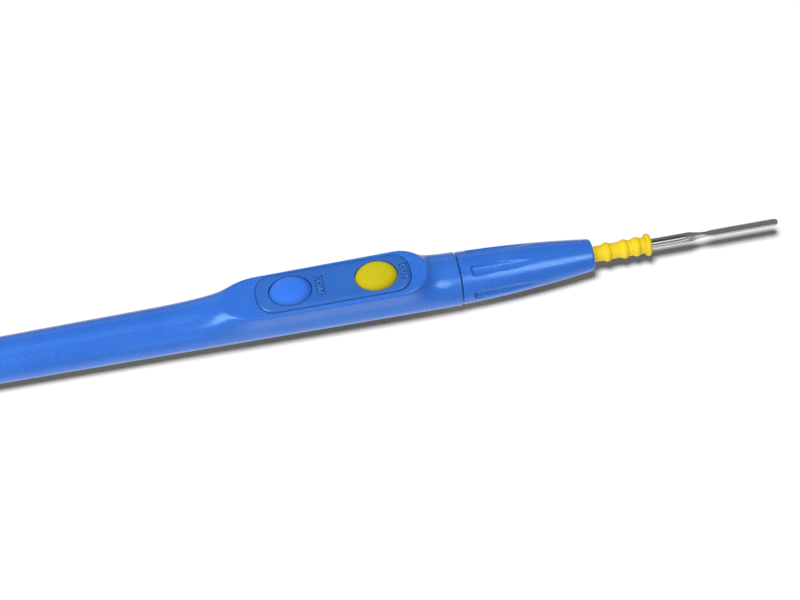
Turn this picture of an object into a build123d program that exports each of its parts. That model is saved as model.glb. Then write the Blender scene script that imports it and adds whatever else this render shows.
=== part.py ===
from build123d import *
import math
import os

# Electrosurgical pencil in millimetres.
# The pencil axis is X, the cable inlet's mouth is at X = 0, the blade points along +X
# and the two buttons face +Z.

# Handle barrel, a slim cone that grows towards the nose
handle_length = 120.0
rear_radius = 4.87
seam_radius = 5.97
seam_edge_round = 0.3
underside_flat_depth = 0.13
wire_bore_radius = 3.2

# Raised switch pad on the handle
neck_length = 6.7
pad_length = 46.2
pad_height = 7.4
pad_side_inset = 0.2
pad_rear_round = 8.8
pad_front_round = 6.6
pad_edge_round = 0.5
rear_ramp_slope = 0.9
rear_ramp_spread = 0.68
front_ramp_slope = 0.4
front_ramp_spread = 0.48

# Switch plate let into the pad
plate_length = 33.7
plate_width = 8.9
plate_corner = 3.6
plate_thickness = 1.4
plate_proud = 0.3
plate_front_margin = 4.1
plate_gap = 0.25
plate_edge_round = 0.3
ledge_width = 0.95

# Oval push buttons
button_length = 9.25
button_width = 7.0
button_rise = 1.4
button_crown_radius = 14.4
button_edge_round = 0.45
button_gap = 0.15
button_wall = 1.1
coag_button_margin = 7.45
cut_button_margin = 7.35
flange_reach = 0.75
flange_thickness = 0.8
flange_gap = 0.05
flange_clearance = 0.2
stem_radius = 1.2

# Switch board with its snap domes and holding film
board_level = 2.0
board_thickness = 1.0
board_clearance = 0.1
dome_radius = 2.5
dome_height = 0.7
dome_thickness = 0.12
dome_gap = 0.05
film_thickness = 0.2
film_clearance = 0.15

# Solder tags for the three wires, and the leaf that feeds the electrode socket
tag_pitch = 1.5
tag_width = 0.9
tag_foot = 3.0
tag_drop = 1.2
tag_reach = 4.0
strip_thickness = 0.3
leaf_width = 2.0
leaf_foot = 3.0
leaf_setback = 3.9

# Nose cone, pushed over the handle's spigot
nose_length = 30.35
nose_rim_radius = 5.84
nose_mid_radius = 5.12
nose_tip_radius = 3.5
nose_edge_round = 0.5
nose_gap = 0.2
nose_turn = 18.0
spigot_length = 8.0
spigot_radius = 4.2
spigot_clearance = 0.05
flute_count = 6
flute_radius = 1.6
flute_floor = 5.0
flute_start = 2.6
flute_end_round = 0.7

# Brass socket and the insulating bush that carries it
socket_outer_radius = 1.7
socket_front_gap = 0.6
socket_depth = 25.0
socket_plug_length = 4.0
socket_collar_radius = 2.2
socket_collar_length = 1.0
socket_slot_width = 0.4
socket_slot_length = 9.0
socket_tail_radius = 0.8
socket_fit = 0.02
carrier_radius = 2.6
carrier_length = 14.0
carrier_flange_radius = 3.9
carrier_flange_length = 1.0
carrier_clearance = 0.05
collar_clearance = 0.2

# Plug-in blade electrode
shaft_diameter = 2.36
shaft_clearance = 0.04
electrode_length = 70.0
electrode_insertion = 27.4
waist_setback = 17.7
waist_width = 1.04
waist_lead = 4.8
waist_trail = 3.2
flat_trail = 1.6
blade_thickness = 0.55
blade_tip_radius = 1.0
blade_turn = -28.0

# Insulating sleeve moulded on the electrode
hex_across_flats = 3.6
hex_length = 7.5
hex_clearance = 0.06
hex_setback = 0.8
sleeve_reach = 13.4
sleeve_rear_radius = 1.68
sleeve_front_radius = 1.78
sleeve_fit = 0.01
bead_radius = 2.14
bead_half_width = 0.9
bead_stations = (3.4, 7.3, 10.1)
flange_bead_radius = 2.5
flange_bead_half_width = 0.7

# Rear cap with the cable inlet
cap_flange_length = 1.6
cap_plug_length = 8.0
cap_edge_round = 0.6
cap_clearance = 0.04
inlet_radius = 1.8

# Stations and levels that follow from the sizes above
taper = (seam_radius - rear_radius) / handle_length
seam_x = handle_length
pad_front_x = seam_x - neck_length
pad_rear_x = pad_front_x - pad_length
plate_front_x = pad_front_x - plate_front_margin
plate_centre_x = plate_front_x - plate_length / 2
plate_rear_x = plate_front_x - plate_length
coag_button_x = plate_rear_x + coag_button_margin
cut_button_x = plate_front_x - cut_button_margin
plate_top = pad_height + plate_proud
plate_under = plate_top - plate_thickness
board_top = board_level + board_thickness
stem_end = board_top + dome_height + dome_gap
flange_top = plate_under - flange_gap
pocket_length = plate_length + 2 * plate_gap
pocket_width = plate_width + 2 * plate_gap
pocket_corner = plate_corner + plate_gap
cavity_length = pocket_length - 2 * ledge_width
cavity_width = pocket_width - 2 * ledge_width
cavity_corner = pocket_corner - ledge_width
cavity_front_x = plate_centre_x + cavity_length / 2
board_length = cavity_length - 2 * board_clearance
board_width = cavity_width - 2 * board_clearance
board_corner = cavity_corner - board_clearance
board_rear_x = plate_centre_x - board_length / 2
spigot_end_x = seam_x + spigot_length
carrier_end_x = spigot_end_x + carrier_flange_length
nose_rear_x = seam_x + nose_gap
nose_front_x = seam_x + nose_length
electrode_rear_x = nose_front_x - electrode_insertion
electrode_tip_x = electrode_rear_x + electrode_length
hex_front_x = nose_front_x - hex_setback
hex_rear_x = hex_front_x - hex_length
socket_front_x = hex_rear_x - socket_front_gap
socket_bore_x = socket_front_x - socket_depth
socket_rear_x = socket_bore_x - socket_plug_length
leaf_riser_x = socket_rear_x - leaf_setback
socket_tail_x = leaf_riser_x - leaf_foot
sleeve_front_x = nose_front_x + sleeve_reach
waist_x = electrode_tip_x - waist_setback
shaft_radius = shaft_diameter / 2


def barrel_radius(x):
    """Outer radius of the handle's cone at station x."""
    return rear_radius + taper * x


def turned(outline):
    """Solid turned about the pencil axis from a closed (x, radius) outline."""
    return revolve(make_face(Polyline(*outline, close=True)), Axis.X)


def turned_curves(curves):
    """Solid turned about the pencil axis from a closed loop of lines and arcs."""
    return revolve(make_face(curves), Axis.X)


def rod(start_x, end_x, radius):
    """Plain cylinder on the pencil axis."""
    return turned([(start_x, 0), (end_x, 0), (end_x, radius), (start_x, radius)])


def slab(length, width, corner, low, high, centre_x):
    """Flat plate with round corners between two levels."""
    outline = RectangleRounded(length, width, corner)
    return extrude(Pos(centre_x, 0, low) * outline, amount=high - low)


def oval(length, width, low, high, centre_x):
    """Upright oval prism between two levels."""
    outline = Ellipse(length / 2, width / 2)
    return extrude(Pos(centre_x, 0, low) * outline, amount=high - low)


def underside_cut():
    """Block below the narrow anti-roll flat, which runs along the cone's lowest line."""
    block = Box(4 * handle_length, 4 * seam_radius, 4 * seam_radius)
    lowered = Pos(0, 0, -(rear_radius - underside_flat_depth)) * Rot(0, math.degrees(math.atan(taper)), 0)
    return lowered * Pos(0, 0, -2 * seam_radius) * block


def pad_outline(level):
    """Plan of the switch pad at one level: tapered sides with rounded ends that spread downwards."""
    depth = pad_height - level
    rear_reach = pad_rear_round + rear_ramp_slope * depth + rear_ramp_spread * depth**2
    front_reach = pad_front_round + front_ramp_slope * depth + front_ramp_spread * depth**2
    rear_x = pad_rear_x + pad_rear_round
    front_x = pad_front_x - pad_front_round
    rear_half = barrel_radius(rear_x) - pad_side_inset
    front_half = barrel_radius(front_x) - pad_side_inset
    ellipse_handle = 4 / 3 * (math.sqrt(2) - 1)

    def end_curve(x, half, reach, side):
        """Quarter of a rounded end, from the pad's side to its middle line."""
        pull = ellipse_handle * reach
        return Bezier(
            (x, side * half, level),
            (x + pull, side * (half + taper * pull), level),
            (x + reach, side * ellipse_handle * half, level),
            (x + reach, 0, level),
        )

    return make_face([
        end_curve(rear_x, rear_half, -rear_reach, 1),
        end_curve(rear_x, rear_half, -rear_reach, -1),
        Line((rear_x, -rear_half, level), (front_x, -front_half, level)),
        end_curve(front_x, front_half, front_reach, -1),
        end_curve(front_x, front_half, front_reach, 1),
        Line((front_x, front_half, level), (rear_x, rear_half, level)),
    ])


def handle():
    """Moulded handle: coned barrel and raised pad, hollow for the wires and the switch."""
    section_count = 6
    levels = [pad_height * i / (section_count - 1) for i in range(section_count)]
    pad = loft([pad_outline(level) for level in levels])
    pad = split(pad, bisect_by=Plane.YZ.offset(seam_x - seam_edge_round), keep=Keep.BOTTOM)
    barrel = turned([
        (cap_flange_length, 0),
        (cap_flange_length, barrel_radius(cap_flange_length)),
        (seam_x, seam_radius),
        (seam_x, spigot_radius),
        (spigot_end_x, spigot_radius),
        (spigot_end_x, 0),
    ])
    seam_edge = barrel.edges().filter_by(GeomType.CIRCLE).sort_by(lambda edge: edge.radius)[-1]
    body = fillet(seam_edge, seam_edge_round) + pad
    top_edges = body.faces().sort_by(Axis.Z)[-1].outer_wire().edges()
    body = fillet(top_edges, pad_edge_round)
    body -= underside_cut()
    body -= rod(0, cavity_front_x, wire_bore_radius)
    body -= rod(cavity_front_x, spigot_end_x, carrier_radius)
    body -= slab(cavity_length, cavity_width, cavity_corner, board_level, pad_height, plate_centre_x)
    body -= slab(pocket_length, pocket_width, pocket_corner, plate_under, 2 * pad_height, plate_centre_x)
    return body


def switch_plate():
    """Inlaid plate with an oval window for each button."""
    plate = slab(plate_length, plate_width, plate_corner, plate_under, plate_top, plate_centre_x)
    plate = fillet(plate.faces().sort_by(Axis.Z)[-1].edges(), plate_edge_round)
    for x in (coag_button_x, cut_button_x):
        window_length = button_length + 2 * button_gap
        window_width = button_width + 2 * button_gap
        plate -= oval(window_length, window_width, plate_under, plate_top, x)
    return plate


def button(x):
    """Domed oval button with a stop flange under the plate and a stem over its snap dome."""
    crown_top = plate_top + button_rise
    cap = oval(button_length, button_width, flange_top, crown_top, x)
    cap &= Pos(x, 0, crown_top - button_crown_radius) * Sphere(button_crown_radius)
    rim = [edge for edge in cap.edges() if edge.center().Z > plate_top]
    cap = fillet(rim, button_edge_round)
    flange_low = flange_top - flange_thickness
    flange_length = button_length + 2 * flange_reach
    flange_width = cavity_width - 2 * flange_clearance
    cap += oval(flange_length, flange_width, flange_low, flange_top, x)
    hollow_length = button_length - 2 * button_wall
    hollow_width = button_width - 2 * button_wall
    cap -= oval(hollow_length, hollow_width, flange_low, plate_top, x)
    stem_height = plate_top - stem_end
    cap += Pos(x, 0, stem_end + stem_height / 2) * Cylinder(stem_radius, stem_height)
    return cap


def switch_board():
    """Circuit board that drops through the pad's pocket onto two ledges."""
    return slab(board_length, board_width, board_corner, board_level, board_top, plate_centre_x)


def dome_film():
    """Thin film on the board with a round hole that keeps each snap dome in place."""
    film_top = board_top + film_thickness
    film = slab(board_length, board_width, board_corner, board_top, film_top, plate_centre_x)
    for x in (coag_button_x, cut_button_x):
        film -= Pos(x, 0, film_top) * Cylinder(dome_radius + film_clearance, 4 * film_thickness)
    return film


def snap_dome(x):
    """Shallow spring-steel dome, open below, standing on the board."""
    def cap_of_sphere(rim_radius, height):
        radius = (rim_radius**2 + height**2) / (2 * height)
        ball = Pos(x, 0, board_top + height - radius) * Sphere(radius)
        return ball & Pos(x, 0, board_top + height) * Box(4 * radius, 4 * radius, 2 * height)

    return cap_of_sphere(dome_radius, dome_height) - cap_of_sphere(
        dome_radius - dome_thickness, dome_height - dome_thickness
    )


def bent_strip(points, width, centre_y):
    """Metal strip folded along a path in the XZ plane."""
    path = Polyline(*[(x, z) for x, z in points])
    section = offset(path, strip_thickness / 2, kind=Kind.INTERSECTION, side=Side.BOTH)
    strip = extrude(Plane.XZ * make_face(section), amount=width / 2, both=True)
    return Pos(0, centre_y, 0) * strip


def solder_tag(place):
    """Tag under the board's rear end, cranked down into the wire bore."""
    foot_level = board_level - strip_thickness / 2
    foot_x = board_rear_x + strip_thickness
    path = [
        (foot_x + tag_foot, foot_level),
        (foot_x, foot_level),
        (foot_x, foot_level - tag_drop),
        (foot_x - tag_reach, foot_level - tag_drop),
    ]
    return bent_strip(path, tag_width, place * tag_pitch)


def contact_leaf():
    """Strip from the board's front end down to the electrode socket's tail."""
    foot_level = board_level - strip_thickness / 2
    tail_level = socket_tail_radius + strip_thickness / 2
    path = [
        (leaf_riser_x - leaf_foot, foot_level),
        (leaf_riser_x, foot_level),
        (leaf_riser_x, tail_level),
        (leaf_riser_x - leaf_foot, tail_level),
    ]
    return bent_strip(path, leaf_width, 0)


def socket_carrier():
    """Insulating bush in the handle's front bore, flanged against the spigot's end."""
    body = rod(spigot_end_x - carrier_length, carrier_end_x, carrier_radius - carrier_clearance)
    body += rod(spigot_end_x, carrier_end_x, carrier_flange_radius)
    return body - rod(spigot_end_x - carrier_length, carrier_end_x, socket_outer_radius + socket_fit)


def contact_socket():
    """Turned brass socket: slit tube that grips the electrode, collar, plug end and tail pin."""
    socket = rod(socket_rear_x, socket_front_x, socket_outer_radius)
    socket += rod(carrier_end_x, carrier_end_x + socket_collar_length, socket_collar_radius)
    socket += rod(socket_tail_x, socket_rear_x, socket_tail_radius)
    socket -= rod(socket_bore_x, socket_front_x, shaft_radius + shaft_clearance)
    slit = Box(2 * socket_slot_length, 4 * socket_outer_radius, socket_slot_width)
    for turn in (0, 90):
        socket -= Pos(socket_front_x, 0, 0) * Rot(turn, 0, 0) * slit
    return socket


def hex_bar(start_x, end_x, across_flats):
    """Hexagonal bar on the pencil axis, turned with the nose."""
    outline = RegularPolygon(across_flats / 2, 6, major_radius=False)
    bar = extrude(Plane.YZ * outline, amount=end_x - start_x)
    return Pos(start_x, 0, 0) * Rot(nose_turn, 0, 0) * bar


def nose_cone():
    """Moulded nose: bowed taper with long run-out flutes, hollow over spigot and socket."""
    mid_x = (nose_rear_x + nose_front_x) / 2
    cone = turned_curves([
        Line((nose_rear_x, 0), (nose_rear_x, nose_rim_radius)),
        ThreePointArc(
            (nose_rear_x, nose_rim_radius),
            (mid_x, nose_mid_radius),
            (nose_front_x, nose_tip_radius),
        ),
        Line((nose_front_x, nose_tip_radius), (nose_front_x, 0)),
        Line((nose_front_x, 0), (nose_rear_x, 0)),
    ])
    rims = cone.edges().filter_by(GeomType.CIRCLE).sort_by(Axis.X)
    cone = fillet(rims[0], seam_edge_round)
    rims = cone.edges().filter_by(GeomType.CIRCLE).sort_by(Axis.X)
    cone = fillet(rims[-1], nose_edge_round)
    flute = rod(seam_x + flute_start, nose_front_x, flute_radius)
    flute_end = flute.edges().filter_by(GeomType.CIRCLE).sort_by(Axis.X)[0]
    flute = fillet(flute_end, flute_end_round)
    for i in range(flute_count):
        turn = nose_turn + 360 / flute_count * i
        cone -= Rot(turn, 0, 0) * Pos(0, 0, flute_floor + flute_radius) * flute
    cone -= rod(nose_rear_x, carrier_end_x + collar_clearance, spigot_radius + spigot_clearance)
    cone -= rod(nose_rear_x, hex_rear_x - socket_front_gap / 2, socket_collar_radius + collar_clearance)
    cone -= hex_bar(nose_rear_x, nose_front_x, hex_across_flats + 2 * hex_clearance)
    return cone


def electrode_sleeve():
    """Yellow insulating sleeve: hexagonal root in the nose, beads and an end flange outside."""
    def root_radius(station):
        return sleeve_rear_radius + (sleeve_front_radius - sleeve_rear_radius) * station / sleeve_reach

    beads = [(station, bead_half_width, bead_radius) for station in bead_stations]
    beads.append((sleeve_reach - flange_bead_half_width, flange_bead_half_width, flange_bead_radius))
    here = (hex_front_x, root_radius(0))
    curves = [Line((hex_front_x, 0), here)]
    for station, half_width, radius in beads:
        foot = (nose_front_x + station - half_width, root_radius(station))
        crest = (nose_front_x + station, radius)
        end = (nose_front_x + station + half_width, root_radius(station))
        curves += [Line(here, foot), ThreePointArc(foot, crest, end)]
        here = end
    curves += [Line(here, (sleeve_front_x, 0)), Line((sleeve_front_x, 0), (hex_front_x, 0))]
    sleeve = turned_curves(curves) + hex_bar(hex_rear_x, hex_front_x, hex_across_flats)
    return sleeve - rod(hex_rear_x, sleeve_front_x, shaft_radius + sleeve_fit)


def electrode_blade():
    """Steel rod ground flat on two sides into a blade, with a waist where the blade begins."""
    taper_x = waist_x - waist_lead
    blade_x = waist_x + waist_trail
    flat_x = waist_x + flat_trail
    half_blade = blade_thickness / 2
    shaft = rod(electrode_rear_x, electrode_tip_x, shaft_radius)
    shaft = chamfer(shaft.edges().sort_by(Axis.X)[0], shaft_radius / 4)
    side_view = Polyline(
        (electrode_rear_x, -shaft_diameter),
        (taper_x, -shaft_radius),
        (flat_x, -half_blade),
        (electrode_tip_x, -half_blade),
        (electrode_tip_x, half_blade),
        (flat_x, half_blade),
        (taper_x, shaft_radius),
        (electrode_rear_x, shaft_diameter),
        close=True,
    )

    def half_plan(side):
        """One edge of the blade seen from above: full rod, waist, blade and rounded tip."""
        wide = side * shaft_radius
        narrow = side * waist_width / 2
        lead = (taper_x + waist_x) / 2
        trail = (waist_x + blade_x) / 2
        tip_x = electrode_tip_x - blade_tip_radius
        tip_y = wide - side * blade_tip_radius
        corner = blade_tip_radius * math.sqrt(0.5)
        return [
            Line((electrode_rear_x, wide), (taper_x, wide)),
            Bezier((taper_x, wide), (lead, wide), (lead, narrow), (waist_x, narrow)),
            Bezier((waist_x, narrow), (trail, narrow), (trail, wide), (blade_x, wide)),
            Line((blade_x, wide), (tip_x, wide)),
            ThreePointArc((tip_x, wide), (tip_x + corner, tip_y + side * corner), (electrode_tip_x, tip_y)),
            Line((electrode_tip_x, tip_y), (electrode_tip_x, 0)),
        ]

    rear_line = Line((electrode_rear_x, shaft_radius), (electrode_rear_x, -shaft_radius))
    plan_view = make_face(half_plan(1) + half_plan(-1) + [rear_line])
    blade = shaft & extrude(Plane.XZ * make_face(side_view), amount=shaft_diameter, both=True)
    blade &= extrude(plan_view, amount=shaft_diameter, both=True)
    return Rot(blade_turn, 0, 0) * blade


def rear_cap():
    """Cap that closes the handle's rear end, bored for the cable."""
    cap = turned([
        (0, 0),
        (0, rear_radius),
        (cap_flange_length, barrel_radius(cap_flange_length)),
        (cap_flange_length, wire_bore_radius - cap_clearance),
        (cap_flange_length + cap_plug_length, wire_bore_radius - cap_clearance),
        (cap_flange_length + cap_plug_length, 0),
    ])
    rear_edge = cap.edges().filter_by(GeomType.CIRCLE).sort_by(Axis.X)[0]
    cap = fillet(rear_edge, cap_edge_round) - underside_cut()
    return cap - rod(0, cap_flange_length + cap_plug_length, inlet_radius)


sub_parts = {
    "rear_cap": rear_cap(),
    "handle": handle(),
    "switch_board": switch_board(),
    "dome_film": dome_film(),
    "coag_dome": snap_dome(coag_button_x),
    "cut_dome": snap_dome(cut_button_x),
    "coag_tag": solder_tag(-1),
    "active_tag": solder_tag(0),
    "cut_tag": solder_tag(1),
    "contact_leaf": contact_leaf(),
    "switch_plate": switch_plate(),
    "coag_button": button(coag_button_x),
    "cut_button": button(cut_button_x),
    "socket_carrier": socket_carrier(),
    "contact_socket": contact_socket(),
    "nose_cone": nose_cone(),
    "electrode_blade": electrode_blade(),
    "electrode_sleeve": electrode_sleeve(),
}

os.makedirs("parts", exist_ok=True)
for name, solid in sub_parts.items():
    export_step(solid, f"parts/{name}.step")
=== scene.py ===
import math

import bmesh
import bpy
import numpy as np
from mathutils import Matrix, Vector


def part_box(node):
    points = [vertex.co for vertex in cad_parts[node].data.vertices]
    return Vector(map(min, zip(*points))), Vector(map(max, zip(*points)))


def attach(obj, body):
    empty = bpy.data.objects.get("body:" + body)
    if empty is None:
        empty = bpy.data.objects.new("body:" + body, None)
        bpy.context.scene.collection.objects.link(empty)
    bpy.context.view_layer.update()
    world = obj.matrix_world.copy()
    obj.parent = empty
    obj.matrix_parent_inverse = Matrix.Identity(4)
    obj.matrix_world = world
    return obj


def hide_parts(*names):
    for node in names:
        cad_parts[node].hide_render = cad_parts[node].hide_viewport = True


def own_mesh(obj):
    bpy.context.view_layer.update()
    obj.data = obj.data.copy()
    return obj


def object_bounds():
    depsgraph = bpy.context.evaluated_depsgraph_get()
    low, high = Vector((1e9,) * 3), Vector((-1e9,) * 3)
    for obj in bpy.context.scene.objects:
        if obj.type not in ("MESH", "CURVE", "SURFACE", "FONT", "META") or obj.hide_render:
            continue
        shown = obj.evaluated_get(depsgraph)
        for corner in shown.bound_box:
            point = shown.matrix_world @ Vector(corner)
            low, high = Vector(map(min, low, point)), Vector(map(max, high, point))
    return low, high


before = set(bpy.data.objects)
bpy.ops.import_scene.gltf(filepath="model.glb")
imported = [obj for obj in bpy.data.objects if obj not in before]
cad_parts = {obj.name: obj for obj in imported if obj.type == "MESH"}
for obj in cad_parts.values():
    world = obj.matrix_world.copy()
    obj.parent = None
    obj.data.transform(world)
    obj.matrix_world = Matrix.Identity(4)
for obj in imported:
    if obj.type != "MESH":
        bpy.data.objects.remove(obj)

cad_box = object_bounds()

# Handle
# One hollow ABS moulding: a slim coned barrel whose top swells into a raised switch pad, with a
# pocket for the switch plate and a spigot in front. Its ramps run into the barrel in soft fillets.
mm = 0.001
handle_low, handle_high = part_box("handle")
cap_low, cap_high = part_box("rear_cap")
plate_low, plate_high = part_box("switch_plate")
board_low, board_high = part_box("switch_board")
nose_low, nose_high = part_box("nose_cone")
nose_gap = 0.2 * mm
seam_x = nose_low.x - nose_gap
rear_radius = 4.87 * mm
seam_radius = 5.97 * mm
seam_round = 0.3 * mm
spigot_radius = 4.2 * mm
underside_flat = 0.13 * mm
wire_bore_radius = 3.2 * mm
pad_height = handle_high.z
pad_rear_shoulder = seam_x - 44.1 * mm
pad_front_shoulder = seam_x - 13.3 * mm
pad_side_inset = 0.2 * mm
pad_edge_round = 1.1 * mm
pad_foot_round = 1.1 * mm
# Reach of each ramp past its shoulder: at the flat top, then for each depth and for its square.
rear_ramp = (8.8 * mm, 0.9, 0.68 / mm)
front_ramp = (6.6 * mm, 0.4, 0.48 / mm)
plate_gap = 0.25 * mm
plate_corner = 3.6 * mm
board_clearance = 0.1 * mm
ledge_width = 0.95 * mm
weld_distance = 0.0005 * mm


def barrel_radius(x):
    """Radius of the handle's cone at station x."""
    return rear_radius + (seam_radius - rear_radius) * x / seam_x


def underside_level(x):
    """Level of the narrow flat that keeps the barrel from rolling."""
    return underside_flat - barrel_radius(x)


def soft_min(a, b, size):
    """Lesser of two distances, with the corner between them rounded over that size."""
    share = np.clip(0.5 + 0.5 * (b - a) / size, 0, 1)
    return b + (a - b) * share - size * share * (1 - share)


def soft_max(a, b, size):
    """Greater of two distances, with the corner between them filled over that size."""
    return -soft_min(-a, -b, size)


def pad_half_width(x, z):
    """Half width of the switch pad at a station and a level: its ends spread downwards into ramps."""
    depth = np.maximum(pad_height - z, -pad_edge_round)
    below = np.maximum(depth, 0)
    rear_reach = rear_ramp[0] + rear_ramp[1] * depth + rear_ramp[2] * below**2
    front_reach = front_ramp[0] + front_ramp[1] * depth + front_ramp[2] * below**2
    past_rear = (pad_rear_shoulder - x) / rear_reach
    past_front = (x - pad_front_shoulder) / front_reach
    past_shoulder = np.maximum(past_rear, past_front)
    return (barrel_radius(x) - pad_side_inset) * np.sqrt(1 - np.clip(past_shoulder, 0, 1) ** 2)


def handle_reach(x, turn):
    """Distance from the pencil axis to the handle's skin, at a station and a turn from straight up."""
    up = np.cos(turn)
    side = np.sin(turn)
    inside = np.zeros(np.broadcast(x, turn).shape)
    outside = inside + 2 * pad_height
    # Forty halvings close in on the pad's side wall along each spoke.
    for _ in range(40):
        middle = (inside + outside) / 2
        is_inside = side * middle < pad_half_width(x, up * middle)
        inside = np.where(is_inside, middle, inside)
        outside = np.where(is_inside, outside, middle)
    nearly_level = 0.05
    top = pad_height / np.maximum(up, nearly_level)
    pad = np.where(up > 0, soft_min(top, inside, pad_edge_round), 0)
    return soft_max(pad, barrel_radius(x) + 0 * turn, pad_foot_round)


def skin_rings(stations, reach, half_count, bend_weight):
    """Rings of points on a skin that mirrors about Y = 0, closest together where it bends most."""
    steps_per_degree = 8
    neighbours = 4
    fine = np.linspace(0, math.pi, 180 * steps_per_degree + 1)[None, :]
    x = np.asarray(stations)[:, None]
    size = reach(x, fine)
    path = np.stack([size * np.sin(fine), size * np.cos(fine)], axis=-1)
    step = np.diff(path, axis=1)
    length = np.hypot(step[..., 0], step[..., 1])
    heading = np.unwrap(np.arctan2(step[..., 1], step[..., 0]), axis=1)
    bend = np.abs(np.gradient(heading, axis=1))
    crowding = length / length.sum(1, keepdims=True) + bend_weight * bend / math.pi
    padded = np.pad(crowding, ((neighbours, neighbours), (0, 0)), mode="edge")
    crowding = np.mean([padded[i:i + len(x)] for i in range(2 * neighbours + 1)], axis=0)
    share = np.concatenate([np.zeros((len(x), 1)), np.cumsum(crowding, axis=1)], axis=1)
    share /= share[:, -1:]
    wanted = np.linspace(0, 1, half_count + 1)
    turns = np.array([np.interp(wanted, row, fine[0]) for row in share])
    turns = np.concatenate([turns, 2 * math.pi - turns[:, -2:0:-1]], axis=1)
    mirrored = np.where(turns > math.pi, 2 * math.pi - turns, turns)
    size = reach(x, mirrored)
    return np.stack([x + 0 * turns, size * np.sin(turns), size * np.cos(turns)], axis=-1)


def ring_mesh(name, rings, looped=False):
    """Closed mesh over rings of points, with a flat face on both ends or the last joined to the first."""
    rings = np.asarray(rings, float)
    ring_count, point_count = rings.shape[:2]
    corners = np.arange(ring_count * point_count).reshape(ring_count, point_count)
    following = np.roll(corners, -1, axis=0) if looped else corners[1:]
    leading = corners if looped else corners[:-1]
    beside = [np.roll(following, -1, axis=1), np.roll(leading, -1, axis=1)]
    quads = np.stack([leading, following, *beside], axis=-1)
    faces = quads.reshape(-1, 4).tolist()
    if not looped:
        faces += [corners[0].tolist(), corners[-1].tolist()]
    mesh = bpy.data.meshes.new(name)
    mesh.from_pydata(rings.reshape(-1, 3).tolist(), [], faces)
    shape = bmesh.new()
    shape.from_mesh(mesh)
    bmesh.ops.remove_doubles(shape, verts=shape.verts, dist=weld_distance)
    bmesh.ops.recalc_face_normals(shape, faces=shape.faces)
    shape.to_mesh(mesh)
    shape.free()
    return mesh


def new_piece(name, mesh):
    """Object at the origin that shows a mesh."""
    piece = bpy.data.objects.new(name, mesh)
    bpy.context.scene.collection.objects.link(piece)
    return piece


def settle(piece):
    """Piece with its modifiers worked into a plain mesh."""
    evaluated = piece.evaluated_get(bpy.context.evaluated_depsgraph_get())
    finished = bpy.data.meshes.new_from_object(evaluated)
    piece.modifiers.clear()
    piece.data = finished
    return piece


def carve(piece, tool_meshes, operation="DIFFERENCE"):
    """Piece with each tool cut out of it, or joined to it."""
    for mesh in tool_meshes:
        tool = new_piece("tool", mesh)
        modifier = piece.modifiers.new("carve", "BOOLEAN")
        modifier.operation = operation
        modifier.solver = "MANIFOLD"
        modifier.object = tool
        bpy.context.view_layer.update()
        settle(piece)
        bpy.data.objects.remove(tool)
    return piece


def smooth(piece, crease_degrees):
    """Piece shaded smooth, apart from its creases."""
    piece.data.shade_smooth()
    piece.data.set_sharp_from_angle(angle=math.radians(crease_degrees))
    return piece


def rounded_outline(length, width, corner, centre_x, corner_points=16):
    """Plan of a rectangle with round corners, lying along X."""
    points = []
    for quarter in range(4):
        centre_turn = math.radians(45 + 90 * quarter)
        x = centre_x + math.copysign(length / 2 - corner, math.cos(centre_turn))
        y = math.copysign(width / 2 - corner, math.sin(centre_turn))
        for i in range(corner_points + 1):
            turn = math.radians(90) * (quarter + i / corner_points)
            points.append((x + corner * math.cos(turn), y + corner * math.sin(turn)))
    return points


def upright_prism(name, outline, low, high):
    """Mesh of a plan carried straight up from one level to another."""
    return ring_mesh(name, [[(x, y, z) for x, y in outline] for z in (low, high)])


def lathe_rings(profile, point_count):
    """Rings about the pencil axis, one for each (station, radius) of a profile."""
    turns = [2 * math.pi * i / point_count for i in range(point_count)]
    return [[(x, r * math.sin(t), r * math.cos(t)) for t in turns] for x, r in profile]


def linear(hex_colour):
    """Linear colour from an sRGB hex value."""
    shares = [int(hex_colour[i:i + 2], 16) / 255 for i in (1, 3, 5)]
    return (*[s / 12.92 if s <= 0.04045 else ((s + 0.055) / 1.055) ** 2.4 for s in shares], 1)


def add(tree, kind, values=None, links=None, **settings):
    """New node in a tree, with its settings, the values of its inputs and the links into them."""
    node = tree.nodes.new(kind)
    for setting, value in settings.items():
        setattr(node, setting, value)
    for socket, value in (values or {}).items():
        node.inputs[socket].default_value = value
    for socket, (source, output) in (links or {}).items():
        tree.links.new(source.outputs[output], node.inputs[socket])
    return node


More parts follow.
